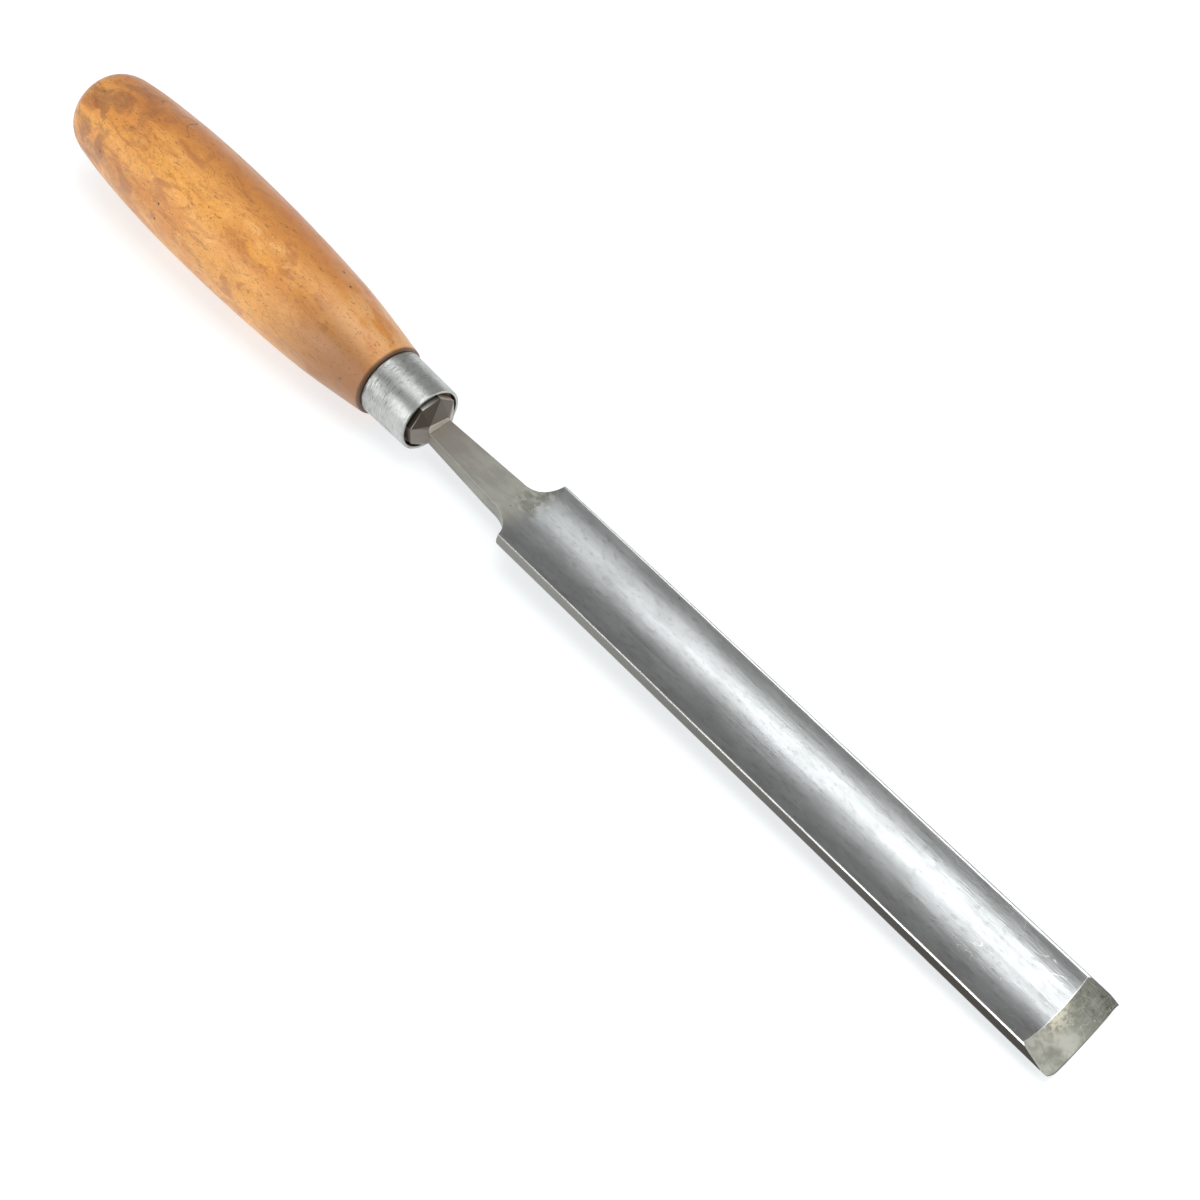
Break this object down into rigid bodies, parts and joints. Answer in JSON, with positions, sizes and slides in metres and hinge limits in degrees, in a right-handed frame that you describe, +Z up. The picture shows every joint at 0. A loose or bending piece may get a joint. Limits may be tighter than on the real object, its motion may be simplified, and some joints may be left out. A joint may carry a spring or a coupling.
{
  "type": "in-cannel gouge",
  "caption": "Trough-bladed hand gouge with an inside bevel, forged neck and octagonal bolster, steel ferrule and barrel-shaped turned wooden handle.",
  "frame": {"origin": "on the surface that the gouge lies on, under the middle of its bounding box", "axes": "+X from the handle towards the cutting edge, +Y across the blade, +Z up out of the blade's hollow; the tool's own axis dips 2.89 degrees towards the edge because it lies on the handle's belly and the cutting edge"},
  "size_m": [0.38, 0.0338, 0.0352],
  "materials": {
    "blade_steel": "worn grey cast steel, ground and rubbed smooth lengthwise, brown-grey forged neck, duller ground bevel",
    "ferrule_steel": "plain pale steel tube, scuffed and scratched round its girth, bright worn rim",
    "handle_wood": "honey-brown turned beech with short flecks, handling stains, small dents and a worn semi-gloss polish"
  },
  "bodies": {
    "root": {"gouge_blade": "blade_steel", "ferrule": "ferrule_steel", "handle": "handle_wood"}
  },
  "joints": []
}
